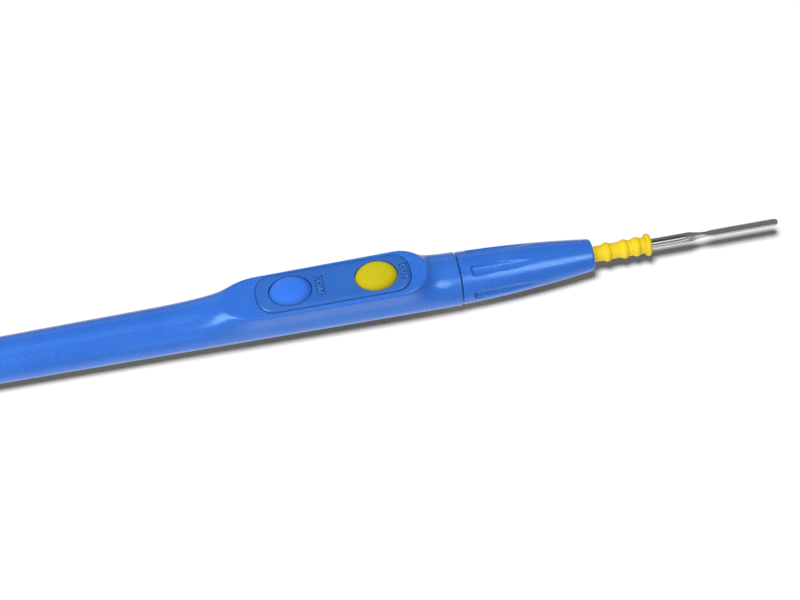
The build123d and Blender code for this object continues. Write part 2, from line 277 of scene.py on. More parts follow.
def moulded_plastic(name, deep, pale, rough, grain_size, grain_depth, grain_strength, gloss="#FFFFFF"):
    """Moulded plastic: faint flow clouds in the colour, and the mould's fine spark-eroded grain.
    The grain breaks its highlights into small specks, and gloss is the tint of those highlights."""
    cloud_size = 7 * mm
    polish_range = 0.06
    material = bpy.data.materials.new(name)
    material.use_nodes = True
    tree = material.node_tree
    shader = tree.nodes["Principled BSDF"]
    place = add(tree, "ShaderNodeTexCoord")
    clouds = add(
        tree, "ShaderNodeTexNoise", {"Scale": 1 / cloud_size, "Detail": 3}, {"Vector": (place, "Object")}
    )
    colours = add(tree, "ShaderNodeValToRGB", None, {"Fac": (clouds, "Fac")})
    colours.color_ramp.elements[0].position = 0.3
    colours.color_ramp.elements[0].color = linear(deep)
    colours.color_ramp.elements[1].position = 0.7
    colours.color_ramp.elements[1].color = linear(pale)
    grain = add(
        tree, "ShaderNodeTexNoise", {"Scale": 1 / grain_size, "Detail": 2, "Roughness": 0.6},
        {"Vector": (place, "Object")},
    )
    polish = add(
        tree, "ShaderNodeMapRange",
        {
            "From Min": 0.3, "From Max": 0.7,
            "To Min": rough - polish_range, "To Max": rough + polish_range,
        },
        {"Value": (grain, "Fac")},
    )
    bump = add(
        tree, "ShaderNodeBump", {"Strength": grain_strength, "Distance": grain_depth},
        {"Height": (grain, "Fac")},
    )
    tree.links.new(colours.outputs["Color"], shader.inputs["Base Color"])
    tree.links.new(polish.outputs["Result"], shader.inputs["Roughness"])
    tree.links.new(bump.outputs["Normal"], shader.inputs["Normal"])
    shader.inputs["IOR"].default_value = 1.56
    shader.inputs["Specular Tint"].default_value = linear(gloss)
    return material


# Glossy saturated blue, whose sharp highlights lean to cyan. The mould's grain is about 0.1 mm on the
# real pieces. Here and on the pieces below it is drawn coarser, so that it shows.
blue_abs = moulded_plastic(
    "moulded_blue_abs", "#3472DB", "#3A78DF", rough=0.26,
    grain_size=0.5 * mm, grain_depth=0.03 * mm, grain_strength=0.07, gloss="#C8F8FF",
)

# Stretches of the skin, each with its start and its count of rings. Rings crowd together on the pad's
# two ramps, and most of all at both ends of its flat top.
top_rear_x = pad_rear_shoulder - rear_ramp[0]
top_front_x = pad_front_shoulder + front_ramp[0]
skin_end_x = seam_x - seam_round
stretches = [
    (handle_low.x, 12),
    (top_rear_x - 22.1 * mm, 40),
    (top_rear_x - 1.1 * mm, 26),
    (top_rear_x + 1.9 * mm, 34),
    (pad_rear_shoulder + 2.1 * mm, 24),
    (pad_front_shoulder - 1.7 * mm, 28),
    (top_front_x - 1.3 * mm, 28),
    (top_front_x + 1.7 * mm, 23),
    (skin_end_x, 0),
]
runs = [
    np.linspace(start, end, count, endpoint=False)
    for (start, count), (end, _) in zip(stretches, stretches[1:])
]
stations = np.append(np.concatenate(runs), skin_end_x)
rings = skin_rings(stations, handle_reach, half_count=110, bend_weight=1.2)
skin_end = rings[-1]
axis_only = np.array([1, 0, 0])
spoke = skin_end * np.array([0, 1, 1]) / np.linalg.norm(skin_end[:, 1:], axis=1)[:, None]
edge_rings = []
for turn in np.linspace(0, math.pi / 2, 6)[1:]:
    inward = seam_round * (1 - math.cos(turn))
    forward = seam_round * math.sin(turn)
    edge_rings.append(skin_end - spoke * inward + axis_only * forward)
for x in (seam_x, handle_high.x):
    edge_rings.append(spoke * spigot_radius + axis_only * x)
rings = np.concatenate([rings, np.array(edge_rings)])
rings[..., 2] = np.maximum(rings[..., 2], underside_level(rings[..., 0]))
handle = new_piece("handle_moulding", ring_mesh("handle_moulding", rings))

plate_length = plate_high.x - plate_low.x
plate_width = plate_high.y - plate_low.y
plate_x = (plate_high.x + plate_low.x) / 2
cavity_length = board_high.x - board_low.x + 2 * board_clearance
cavity_width = board_high.y - board_low.y + 2 * board_clearance
cavity_front_x = plate_x + cavity_length / 2
cavity_corner = plate_corner + plate_gap - ledge_width
carrier_bore_radius = 2.6 * mm
pocket = rounded_outline(
    plate_length + 2 * plate_gap, plate_width + 2 * plate_gap, plate_corner + plate_gap, plate_x
)
cavity = rounded_outline(cavity_length, cavity_width, cavity_corner, plate_x)
wire_bore = [(cap_low.x - mm, wire_bore_radius), (cavity_front_x, wire_bore_radius)]
front_bore = [(plate_x, carrier_bore_radius), (handle_high.x + mm, carrier_bore_radius)]
carve(handle, [
    upright_prism("pocket", pocket, plate_low.z, 2 * pad_height),
    upright_prism("cavity", cavity, board_low.z, pad_height),
    ring_mesh("wire_bore", lathe_rings(wire_bore, 64)),
    ring_mesh("front_bore", lathe_rings(front_bore, 64)),
])
smooth(handle, crease_degrees=32)
handle.data.materials.clear()
handle.data.materials.append(blue_abs)
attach(handle, "pencil")
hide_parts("handle")

# Rear cap
# A small ABS cap pushed into the barrel's rear end, in the handle's own blue. It is bored for the
# cable, and its plug sits in the wire bore.
cap_round = 0.6 * mm
inlet_radius = 1.8 * mm
inlet_round = 0.2 * mm
plug_clearance = 0.04 * mm
plug_radius = wire_bore_radius - plug_clearance
profile = [(cap_high.x, inlet_radius)]
for turn in np.linspace(0, math.pi / 2, 6):
    profile.append((inlet_round * (1 - math.sin(turn)), inlet_radius + inlet_round * (1 - math.cos(turn))))
for turn in np.linspace(0, math.pi / 2, 10):
    profile.append((cap_round * (1 - math.cos(turn)), rear_radius - cap_round * (1 - math.sin(turn))))
profile += [
    (handle_low.x, barrel_radius(handle_low.x)),
    (handle_low.x, plug_radius),
    (cap_high.x, plug_radius),
]
rings = np.array(lathe_rings(profile, 128))
rings[..., 2] = np.maximum(rings[..., 2], underside_level(rings[..., 0]))
rear_cap = new_piece("cap_moulding", ring_mesh("cap_moulding", rings, looped=True))
smooth(rear_cap, crease_degrees=32)
rear_cap.data.materials.append(blue_abs)
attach(rear_cap, "pencil")
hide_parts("rear_cap")

# Switch board, film, snap domes and solder tags
# A glass-epoxy board lies on the handle's ledges, with a frosted film that holds two spring-steel
# domes. Three tinned brass tags under its rear end take the wires, and a brass leaf leads forward.


def worked_metal(name, hex_colour, rough, streak_length, streak_width):
    """Metal with fine lines from rolling, turning or grinding, which draw its reflections out
    lengthwise and leave a slightly uneven polish."""
    brightest = rough - 0.05
    dullest = rough + 0.07
    streak_depth = 0.01 * mm
    material = bpy.data.materials.new(name)
    material.use_nodes = True
    tree = material.node_tree
    shader = tree.nodes["Principled BSDF"]
    place = add(tree, "ShaderNodeTexCoord")
    lie = add(
        tree, "ShaderNodeMapping", {"Scale": (1 / streak_length, 1 / streak_width, 1 / streak_width)},
        {"Vector": (place, "Object")},
    )
    streaks = add(tree, "ShaderNodeTexNoise", {"Scale": 1, "Detail": 3}, {"Vector": (lie, "Vector")})
    polish = add(
        tree, "ShaderNodeMapRange",
        {"From Min": 0.3, "From Max": 0.7, "To Min": brightest, "To Max": dullest},
        {"Value": (streaks, "Fac")},
    )
    bump = add(
        tree, "ShaderNodeBump", {"Strength": 0.06, "Distance": streak_depth}, {"Height": (streaks, "Fac")}
    )
    shader.inputs["Base Color"].default_value = linear(hex_colour)
    shader.inputs["Metallic"].default_value = 1
    tree.links.new(polish.outputs["Result"], shader.inputs["Roughness"])
    tree.links.new(bump.outputs["Normal"], shader.inputs["Normal"])
    return material


def finish_nodes(material, *names):
    """Gives a carried-over solid its finish."""
    for name in names:
        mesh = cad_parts[name].data
        mesh.materials.clear()
        mesh.materials.append(material)


def oval_outline(length, width, centre_x, point_count=96):
    """Plan of an oval lying along X."""
    turns = [2 * math.pi * i / point_count for i in range(point_count)]
    return [(centre_x + length / 2 * math.cos(t), width / 2 * math.sin(t)) for t in turns]


# Lacquered glass cloth, dull green and slightly cloudy.
glass_epoxy = moulded_plastic(
    "woven_glass_epoxy", "#2E5E35", "#3C7042", rough=0.35,
    grain_size=0.5 * mm, grain_depth=0.02 * mm, grain_strength=0.3,
)
# Frosted film, pale and shiny.
frosted_film = moulded_plastic(
    "polyester_film", "#D8DCDD", "#E4E7E7", rough=0.2,
    grain_size=0.8 * mm, grain_depth=0.01 * mm, grain_strength=0.2,
)
# Rolled strip, bright with soft streaks along its length. Real streaks are about 0.02 mm wide. These
# are drawn at 0.1 mm, so that they show.
spring_steel = worked_metal(
    "rolled_spring_steel", "#C9C8C4", rough=0.25, streak_length=2 * mm, streak_width=0.1 * mm
)
# The same strip in brass, paler and warmer under its tin.
tinned_brass = worked_metal(
    "rolled_tinned_brass", "#C8B273", rough=0.3, streak_length=2 * mm, streak_width=0.1 * mm
)
finish_nodes(glass_epoxy, "switch_board")
finish_nodes(frosted_film, "dome_film")
finish_nodes(tinned_brass, "coag_tag", "active_tag", "cut_tag", "contact_leaf")

# Each dome is a thin shell of spring steel, built as rings from its crown out to its rim and back
# underneath.
dome_thickness = 0.12 * mm
crown_share = 0.01
outward = np.linspace(crown_share, 1, 14)
for name in ("coag", "cut"):
    dome_low, dome_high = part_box(name + "_dome")
    dome_x = (dome_low.x + dome_high.x) / 2
    rings = []
    for thickness, shares in ((0, outward), (dome_thickness, outward[::-1])):
        rim_radius = (dome_high.y - dome_low.y) / 2 - thickness
        rise = dome_high.z - dome_low.z - thickness
        for share in shares:
            outline = oval_outline(2 * rim_radius * share, 2 * rim_radius * share, dome_x, 48)
            rings.append([(x, y, dome_low.z + rise * (1 - share**2)) for x, y in outline])
    dome = new_piece(name + "_snap_dome", ring_mesh(name + "_snap_dome", rings))
    smooth(dome, crease_degrees=40)
    dome.data.materials.append(spring_steel)
    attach(dome, "pencil")
    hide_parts(name + "_dome")
    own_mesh(dome)

# Contact socket and its carrier
# The socket is turned from brass and slit crosswise to grip the electrode. A nylon bush holds it
# in the handle's front bore, clear of the handle's own wall.

# Turned brass, yellow with fine rings round it from the lathe, drawn at 0.1 mm so that they show.
turned_brass = worked_metal(
    "turned_brass", "#CDAE5E", rough=0.25, streak_length=0.1 * mm, streak_width=3 * mm
)
# Natural nylon, off-white and satin.
nylon = moulded_plastic(
    "moulded_nylon", "#E3E0D4", "#ECEADF", rough=0.45,
    grain_size=0.5 * mm, grain_depth=0.02 * mm, grain_strength=0.25,
)
finish_nodes(turned_brass, "contact_socket")
finish_nodes(nylon, "socket_carrier")

# Switch plate
# A separate ABS plate in a duller, greener blue, let into the pad's pocket with a hairline gap all
# round. Each button's function word stands raised in a shallow sunken field beside its window.
plate_bevel = 0.3 * mm
bevel_flatness = 1.7
plate_shift = 0.08 * mm
plate_spread = 0.07 * mm
window_gap = 0.2 * mm
window_shift = 0.04 * mm
button_width = 7.0 * mm
button_length = 9.25 * mm
field_depth = 0.3 * mm
field_corner = 0.25 * mm
level_tolerance = 0.01 * mm
letter_sunk = 0.02 * mm
letter_round = 0.05 * mm
letter_thinning = 0.02 * mm
letter_spacing = 1.02
capital_share = 0.73
coag_low, coag_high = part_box("coag_button")
cut_low, cut_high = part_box("cut_button")
coag_x = (coag_low.x + coag_high.x) / 2
cut_x = (cut_low.x + cut_high.x) / 2
words = {
    "COAG": {"x": coag_x + 6.45 * mm, "height": 1.4 * mm, "field": (1.85 * mm, 5.15 * mm)},
    "CUT": {"x": cut_x + 6.1 * mm, "height": 1.3 * mm, "field": (1.7 * mm, 3.85 * mm)},
}
# The plate's grain is finer than the handle's, so it looks duller. Its smooth letters are painted a
# lighter blue as a highlight, and the matt sunken fields round them a darker blue as painted shade.
plate_abs = moulded_plastic(
    "moulded_plate_abs", "#326BC5", "#3871CB", rough=0.34,
    grain_size=0.3 * mm, grain_depth=0.02 * mm, grain_strength=0.2, gloss="#C8F8FF",
)
painted_highlight_letter_abs = moulded_plastic(
    "letter_abs_painted_highlight", "#4480DA", "#4A86E0", rough=0.35,
    grain_size=0.3 * mm, grain_depth=0.01 * mm, grain_strength=0.1,
)
painted_shade_field_abs = moulded_plastic(
    "field_abs_painted_shade", "#2456A6", "#285CAC", rough=0.7,
    grain_size=0.2 * mm, grain_depth=0.02 * mm, grain_strength=0.4,
)

# A flatness of 1 makes the bevel a quarter circle, and 2 makes it a straight chamfer.
profile = [(plate_low.z, 0)]
for turn in np.linspace(0, math.pi / 2, 9):
    z = plate_high.z - plate_bevel * (1 - math.sin(turn) ** bevel_flatness)
    inset = plate_bevel * (1 - max(math.cos(turn), 0) ** bevel_flatness)
    profile.append((z, inset))
# The plate lies slightly to the far side of its pocket, and its windows slightly to the near side.
rings = []
for z, inset in profile:
    growth = plate_spread - inset
    outline = rounded_outline(
        plate_length + 2 * growth, plate_width + 2 * growth, plate_corner + growth, plate_x
    )
    rings.append([(x, y + plate_shift, z) for x, y in outline])
plate = new_piece("plate_moulding", ring_mesh("plate_moulding", rings))
tools = []
for button_x in (coag_x, cut_x):
    window = oval_outline(button_length + 2 * window_gap, button_width + 2 * window_gap, button_x)
    shifted = [(x - window_shift, y - window_shift) for x, y in window]
    tools.append(upright_prism("window", shifted, plate_low.z - mm, plate_high.z + mm))
for word in words.values():
    field = rounded_outline(*word["field"], field_corner, word["x"], corner_points=4)
    tools.append(upright_prism("field", field, plate_high.z - field_depth, plate_high.z + mm))
carve(plate, tools)
smooth(plate, crease_degrees=32)
plate.data.materials.clear()
plate.data.materials.append(plate_abs)
# The fields' floors take the darker blue, painted shade for their recess.
plate.data.materials.append(painted_shade_field_abs)
for face in plate.data.polygons:
    in_field = abs(face.center.z - plate_high.z + field_depth) < level_tolerance
    face.material_index = 1 if in_field else 0
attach(plate, "pencil")
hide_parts("switch_plate")

for letters, word in words.items():
    curve = bpy.data.curves.new("letters", "FONT")
    curve.body = letters
    curve.align_x = "CENTER"
    curve.size = word["height"] / capital_share
    curve.extrude = (field_depth - letter_sunk) / 2 - letter_round
    curve.bevel_depth = letter_round
    curve.bevel_resolution = 2
    curve.offset = -letter_thinning
    curve.space_character = letter_spacing
    lettering = new_piece("word_" + letters.lower(), curve)
    mesh = bpy.data.meshes.new_from_object(lettering.evaluated_get(bpy.context.evaluated_depsgraph_get()))
    bpy.data.objects.remove(lettering)
    centred = Matrix.Translation((0, -word["height"] / 2, 0))
    turned = Matrix.Rotation(math.radians(-90), 4, "Z")
    seat = Matrix.Translation((word["x"], 0, plate_high.z - (field_depth + letter_sunk) / 2))
    mesh.transform(seat @ turned @ centred)
    lettering = new_piece("word_" + letters.lower(), mesh)
    lettering.data.materials.clear()
    # The letters take the lighter blue, a painted highlight on their raised tops.
    lettering.data.materials.append(painted_highlight_letter_abs)
    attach(lettering, "pencil")

# Push buttons
# Two domed oval buttons of moulded ABS, bright blue for COAG and yellow for CUT, with a stop flange
# under the plate and a stem over the snap dome. They travel half a millimetre.
crown_radius = 14.4 * mm
button_round = 1.2 * mm
button_wall = 1.1 * mm
flange_reach = 0.75 * mm
flange_gap = 0.05 * mm
flange_thickness = 0.8 * mm
stem_radius = 1.2 * mm
# Finely grained ABS, whose highlights are broad and soft.
button_blue_abs = moulded_plastic(
    "satin_blue_abs", "#377BF2", "#3D81F6", rough=0.58,
    grain_size=0.3 * mm, grain_depth=0.01 * mm, grain_strength=0.15,
)
button_yellow_abs = moulded_plastic(
    "satin_yellow_abs", "#CFC216", "#D7CA1E", rough=0.58,
    grain_size=0.3 * mm, grain_depth=0.01 * mm, grain_strength=0.15,
)


def button_mesh(name, centre_x, low, high):
    """Button from crown to stem end, as oval rings about its own upright axis."""
    flange_top = plate_low.z - flange_gap
    flange_bottom = flange_top - flange_thickness
    hollow_length = button_length - 2 * button_wall
    hollow_width = button_width - 2 * button_wall
    edge_share = button_round / (button_width / 2)
    turns = np.linspace(0, 2 * math.pi, 96, endpoint=False)

    def ring(length, width, z):
        x = centre_x + length / 2 * np.cos(turns)
        y = width / 2 * np.sin(turns)
        return np.stack([x, y, z + 0 * turns], axis=-1)

    rings = []
    even_shares = np.linspace(0, 1 - edge_share, 14, endpoint=False)
    edge_shares = 1 - edge_share * (1 - np.sin(np.linspace(0, math.pi / 2, 9)))
    for share in np.concatenate([even_shares, edge_shares]):
        inset = (1 - share) * button_width / 2
        drop = button_round - math.sqrt(button_round**2 - max(button_round - inset, 0) ** 2)
        points = ring(button_length * share, button_width * share, 0)
        out = (points[:, 0] - centre_x) ** 2 + points[:, 1] ** 2
        points[:, 2] = high.z - crown_radius + np.sqrt(crown_radius**2 - out) - drop
        rings.append(points)
    rings += [
        ring(button_length, button_width, flange_top),
        ring(button_length + 2 * flange_reach, high.y - low.y, flange_top),
        ring(button_length + 2 * flange_reach, high.y - low.y, flange_bottom),
        ring(hollow_length, hollow_width, flange_bottom),
        ring(hollow_length, hollow_width, plate_high.z),
        ring(2 * stem_radius, 2 * stem_radius, plate_high.z),
        ring(2 * stem_radius, 2 * stem_radius, low.z),
    ]
    return ring_mesh(name, rings)


keys = []
for name, centre_x, low, high, material, slot in (
    ("coag", coag_x, coag_low, coag_high, button_blue_abs, "coag_blue"),
    ("cut", cut_x, cut_low, cut_high, button_yellow_abs, "cut_yellow"),
):
    key = new_piece(name + "_key_top", button_mesh(name + "_key_top", centre_x, low, high))
    smooth(key, crease_degrees=32)
    key.data.materials.append(material)
    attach(key, name + "_key")
    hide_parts(name + "_button")
    keys.append(key)

# Nose cone
# The ABS nose is pushed over the handle's spigot. Its bowed taper carries six moulded flutes that
# start behind a round wall and run out where the cone grows thinner than their floor.
rim_setback = 0.08 * mm
nose_sizes = {
    "Start": nose_low.x + rim_setback,
    "Length": nose_high.x - nose_low.x - rim_setback,
    "Rim radius": 5.84 * mm,
    "Middle radius": 5.12 * mm,
    "Tip radius": 3.5 * mm,
    "Rim round": seam_round,
    "Tip round": 0.5 * mm,
    "Flute start": seam_x + 2.6 * mm,
    "Flute radius": 1.6 * mm,
    "Flute floor": 5.0 * mm,
    "Flute end round": 0.7 * mm,
    "Flute edge round": 0.14 * mm,
    "Flute spacing": math.radians(60),
    "First flute": math.radians(-18),
}


def turned_by_rule(name, sizes, row_count, point_count, end_crowding, radius_rule, material):
    """Closed skin about the pencil axis, grown from a grid by a rule for its radius.
    The grid's first and last rows close the ends on the axis, and rows crowd towards both ends."""
    tree = bpy.data.node_groups.new(name, "GeometryNodeTree")
    tree.interface.new_socket("Geometry", in_out="OUTPUT", socket_type="NodeSocketGeometry")
    sockets = {
        label: tree.interface.new_socket(label, in_out="INPUT", socket_type="NodeSocketFloat")
        for label in sizes
    }
    given = add(tree, "NodeGroupInput")
    grid = add(
        tree, "GeometryNodeMeshGrid",
        {"Size X": 1, "Size Y": 1, "Vertices X": row_count, "Vertices Y": point_count + 1},
    )
    place = add(tree, "GeometryNodeInputPosition")
    parts = add(tree, "ShaderNodeSeparateXYZ", None, {"Vector": (place, "Position")})
    row = 1 / (row_count - 1)
    share = add(
        tree, "ShaderNodeMapRange", {"From Min": row - 0.5, "From Max": 0.5 - row}, {"Value": (parts, "X")}
    )
    wave = add(tree, "ShaderNodeMath", {1: 2 * math.pi}, {0: (share, "Result")}, operation="MULTIPLY")
    sway = add(tree, "ShaderNodeMath", None, {0: (wave, 0)}, operation="SINE")
    even = add(
        tree, "ShaderNodeMath", {1: -end_crowding / (2 * math.pi)}, {0: (sway, 0), 2: (share, "Result")},
        operation="MULTIPLY_ADD",
    )
    station = add(
        tree, "ShaderNodeMath", None, {0: (even, 0), 1: (given, "Length"), 2: (given, "Start")},
        operation="MULTIPLY_ADD",
    )
    turn = add(
        tree, "ShaderNodeMath", {1: 2 * math.pi, 2: math.pi}, {0: (parts, "Y")}, operation="MULTIPLY_ADD"
    )
    radius = radius_rule(tree, given, station, turn)
    off_end = add(tree, "ShaderNodeMath", None, {0: (parts, "X")}, operation="ABSOLUTE")
    on_skin = add(tree, "ShaderNodeMath", {1: 0.5 - row / 2}, {0: (off_end, 0)}, operation="LESS_THAN")
    closed = add(tree, "ShaderNodeMath", None, {0: (radius, 0), 1: (on_skin, 0)}, operation="MULTIPLY")
    sine = add(tree, "ShaderNodeMath", None, {0: (turn, 0)}, operation="SINE")
    cosine = add(tree, "ShaderNodeMath", None, {0: (turn, 0)}, operation="COSINE")
    aside = add(tree, "ShaderNodeMath", None, {0: (closed, 0), 1: (sine, 0)}, operation="MULTIPLY")
    above = add(tree, "ShaderNodeMath", None, {0: (closed, 0), 1: (cosine, 0)}, operation="MULTIPLY")
    spot = add(tree, "ShaderNodeCombineXYZ", None, {"X": (station, 0), "Y": (aside, 0), "Z": (above, 0)})
    skin = add(
        tree, "GeometryNodeSetPosition", None, {"Geometry": (grid, "Mesh"), "Position": (spot, "Vector")}
    )
    joined = add(
        tree, "GeometryNodeMergeByDistance", {"Distance": weld_distance}, {"Geometry": (skin, "Geometry")}
    )
    real = add(tree, "GeometryNodeRealizeInstances", None, {"Geometry": (joined, "Geometry")})
    finished = add(
        tree, "GeometryNodeSetMaterial", {"Material": material}, {"Geometry": (real, "Geometry")}
    )
    add(tree, "NodeGroupOutput", None, {"Geometry": (finished, "Geometry")})
    piece = new_piece(name, bpy.data.meshes.new(name))
    modifier = piece.modifiers.new("rule", "NODES")
    modifier.node_group = tree
    for label, value in sizes.items():
        modifier[sockets[label].identifier] = value
    bpy.context.view_layer.update()
    settle(piece)
    shape = bmesh.new()
    shape.from_mesh(piece.data)
    bmesh.ops.recalc_face_normals(shape, faces=shape.faces)
    shape.to_mesh(piece.data)
    shape.free()
    return piece


def rounded_end(tree, distance, size):
    """Radius lost to a rounded end, from the distance to that end."""
    short = add(tree, "ShaderNodeMath", None, {0: size, 1: distance}, operation="SUBTRACT")
    short = add(tree, "ShaderNodeMath", {1: 0}, {0: (short, 0)}, operation="MAXIMUM")
    short = add(tree, "ShaderNodeMath", None, {0: (short, 0), 1: size}, operation="MINIMUM")
    short_square = add(tree, "ShaderNodeMath", {1: 2}, {0: (short, 0)}, operation="POWER")
    square = add(tree, "ShaderNodeMath", {1: 2}, {0: size}, operation="POWER")
    left = add(tree, "ShaderNodeMath", None, {0: (square, 0), 1: (short_square, 0)}, operation="SUBTRACT")
    left = add(tree, "ShaderNodeMath", {1: 0}, {0: (left, 0)}, operation="MAXIMUM")
    height = add(tree, "ShaderNodeMath", None, {0: (left, 0)}, operation="SQRT")
    return add(tree, "ShaderNodeMath", None, {0: size, 1: (height, 0)}, operation="SUBTRACT")


def nose_radius(tree, given, station, turn):
    """Bowed cone with rounded rims, less the nearest flute's round channel."""
    forward = add(
        tree, "ShaderNodeMath", None, {0: (station, 0), 1: (given, "Start")}, operation="SUBTRACT"
    )
    backward = add(
        tree, "ShaderNodeMath", None, {0: (given, "Length"), 1: (forward, 0)}, operation="SUBTRACT"
    )
    share = add(tree, "ShaderNodeMath", None, {0: (forward, 0), 1: (given, "Length")}, operation="DIVIDE")
    straight = add(
        tree, "ShaderNodeMapRange", None,
        {"Value": (share, 0), "To Min": (given, "Rim radius"), "To Max": (given, "Tip radius")},
    )
    ends = add(
        tree, "ShaderNodeMath", None, {0: (given, "Rim radius"), 1: (given, "Tip radius")}, operation="ADD"
    )
    bow = add(
        tree, "ShaderNodeMath", {1: -0.5}, {0: (ends, 0), 2: (given, "Middle radius")},
        operation="MULTIPLY_ADD",
    )
    rest = add(tree, "ShaderNodeMath", {0: 1}, {1: (share, 0)}, operation="SUBTRACT")
    arch = add(tree, "ShaderNodeMath", None, {0: (share, 0), 1: (rest, 0)}, operation="MULTIPLY")
    arch = add(tree, "ShaderNodeMath", {1: 4}, {0: (arch, 0)}, operation="MULTIPLY")
    cone = add(
        tree, "ShaderNodeMath", None, {0: (arch, 0), 1: (bow, 0), 2: (straight, "Result")},
        operation="MULTIPLY_ADD",
    )
    rim_loss = rounded_end(tree, (forward, 0), (given, "Rim round"))
    tip_loss = rounded_end(tree, (backward, 0), (given, "Tip round"))
    cone = add(tree, "ShaderNodeMath", None, {0: (cone, 0), 1: (rim_loss, 0)}, operation="SUBTRACT")
    cone = add(tree, "ShaderNodeMath", None, {0: (cone, 0), 1: (tip_loss, 0)}, operation="SUBTRACT")

    along = add(
        tree, "ShaderNodeMath", None, {0: (station, 0), 1: (given, "Flute start")}, operation="SUBTRACT"
    )
    wall_loss = rounded_end(tree, (along, 0), (given, "Flute end round"))
    channel = add(
        tree, "ShaderNodeMath", None, {0: (given, "Flute radius"), 1: (wall_loss, 0)},
        operation="SUBTRACT",
    )
    centre = add(
        tree, "ShaderNodeMath", None, {0: (given, "Flute floor"), 1: (given, "Flute radius")},
        operation="ADD",
    )
    from_first = add(
        tree, "ShaderNodeMath", None, {0: (turn, 0), 1: (given, "First flute")}, operation="SUBTRACT"
    )
    half_spacing = add(
        tree, "ShaderNodeMath", {1: 0.5}, {0: (given, "Flute spacing")}, operation="MULTIPLY"
    )
    minus_half = add(
        tree, "ShaderNodeMath", {1: -0.5}, {0: (given, "Flute spacing")}, operation="MULTIPLY"
    )
    off = add(
        tree, "ShaderNodeMath", None, {0: (from_first, 0), 1: (half_spacing, 0), 2: (minus_half, 0)},
        operation="WRAP",
    )
    off_sine = add(tree, "ShaderNodeMath", None, {0: (off, 0)}, operation="SINE")
    off_cosine = add(tree, "ShaderNodeMath", None, {0: (off, 0)}, operation="COSINE")
    aside = add(tree, "ShaderNodeMath", None, {0: (centre, 0), 1: (off_sine, 0)}, operation="MULTIPLY")
    ahead = add(tree, "ShaderNodeMath", None, {0: (centre, 0), 1: (off_cosine, 0)}, operation="MULTIPLY")
    aside_square = add(tree, "ShaderNodeMath", {1: 2}, {0: (aside, 0)}, operation="POWER")
    channel_square = add(tree, "ShaderNodeMath", {1: 2}, {0: (channel, 0)}, operation="POWER")
    left = add(
        tree, "ShaderNodeMath", None, {0: (channel_square, 0), 1: (aside_square, 0)}, operation="SUBTRACT"
    )
    inside = add(tree, "ShaderNodeMath", {1: 0}, {0: (left, 0)}, operation="GREATER_THAN")
    begun = add(tree, "ShaderNodeMath", {1: 0}, {0: (along, 0)}, operation="GREATER_THAN")
    cut = add(tree, "ShaderNodeMath", None, {0: (inside, 0), 1: (begun, 0)}, operation="MULTIPLY")
    left = add(tree, "ShaderNodeMath", {1: 0}, {0: (left, 0)}, operation="MAXIMUM")
    deep = add(tree, "ShaderNodeMath", None, {0: (left, 0)}, operation="SQRT")
    floor_level = add(tree, "ShaderNodeMath", None, {0: (ahead, 0), 1: (deep, 0)}, operation="SUBTRACT")
    # Outside a channel its floor is put 10 mm further out, where it cuts nothing.
    uncut = add(tree, "ShaderNodeMath", {0: 1}, {1: (cut, 0)}, operation="SUBTRACT")
    far_off = add(tree, "ShaderNodeMath", {1: 10 * mm}, {0: (uncut, 0)}, operation="MULTIPLY")
    flute = add(tree, "ShaderNodeMath", None, {0: (floor_level, 0), 1: (far_off, 0)}, operation="ADD")
    return add(
        tree, "ShaderNodeMath", None, {0: (cone, 0), 1: (flute, 0), 2: (given, "Flute edge round")},
        operation="SMOOTH_MIN",
    )


def hex_mesh(start_x, end_x, across_flats):
    """Hexagonal bar on the pencil axis, turned as the nose is."""
    corner = across_flats / math.sqrt(3)
    turns = [first_corner + math.radians(60) * i for i in range(6)]
    outline = [(corner * math.sin(turn), corner * math.cos(turn)) for turn in turns]
    return ring_mesh("hexagon", [[(x, y, z) for y, z in outline] for x in (start_x, end_x)])


first_corner = nose_sizes["First flute"] + math.radians(90)
hex_across_flats = 3.6 * mm
hex_clearance = 0.06 * mm
spigot_clearance = 0.05 * mm
spigot_end_gap = 0.2 * mm
collar_bore_radius = 2.4 * mm
collar_end_gap = 0.3 * mm
sleeve_low, sleeve_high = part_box("electrode_sleeve")
spigot_end_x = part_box("socket_carrier")[1].x
bore_ends = (nose_low.x - mm, spigot_end_x + spigot_end_gap)
collar_ends = (nose_low.x - mm, sleeve_low.x - collar_end_gap)
nose = turned_by_rule(
    "nose_moulding", nose_sizes, row_count=210, point_count=192, end_crowding=0.8,
    radius_rule=nose_radius, material=blue_abs,
)
carve(nose, [
    ring_mesh("spigot_bore", lathe_rings([(x, spigot_radius + spigot_clearance) for x in bore_ends], 64)),
    ring_mesh("collar_bore", lathe_rings([(x, collar_bore_radius) for x in collar_ends], 64)),
    hex_mesh(nose_low.x - mm, nose_high.x + mm, hex_across_flats + 2 * hex_clearance),
])
smooth(nose, crease_degrees=32)
nose.data.materials.clear()
nose.data.materials.append(blue_abs)
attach(nose, "pencil")
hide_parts("nose_cone")

# Electrode sleeve
# The yellow insulating sleeve is moulded onto the electrode. Three beads and an end flange give the
# fingers a grip for pulling it, and its hexagonal root keeps the blade from turning in the nose.
nose_front = nose_high.x
root_setback = 0.8 * mm
root_overlap = 0.05 * mm
shaft_radius = 1.18 * mm
shaft_clearance = 0.01 * mm
sleeve_sizes = {
    "Start": nose_front - root_setback,
    "Length": sleeve_high.x - nose_front + root_setback,
    "Root radius": 1.68 * mm,
    "Front radius": 1.78 * mm,
    "Foot round": 0.2 * mm,
}
# Station, half width and rise of each bead, the end flange last.
bead_places = [
    (nose_front + 3.4 * mm, 0.9 * mm, 0.43 * mm),
    (nose_front + 7.3 * mm, 0.9 * mm, 0.41 * mm),
    (nose_front + 10.1 * mm, 0.9 * mm, 0.39 * mm),
    (sleeve_high.x - 0.7 * mm, 0.7 * mm, 0.72 * mm),
]
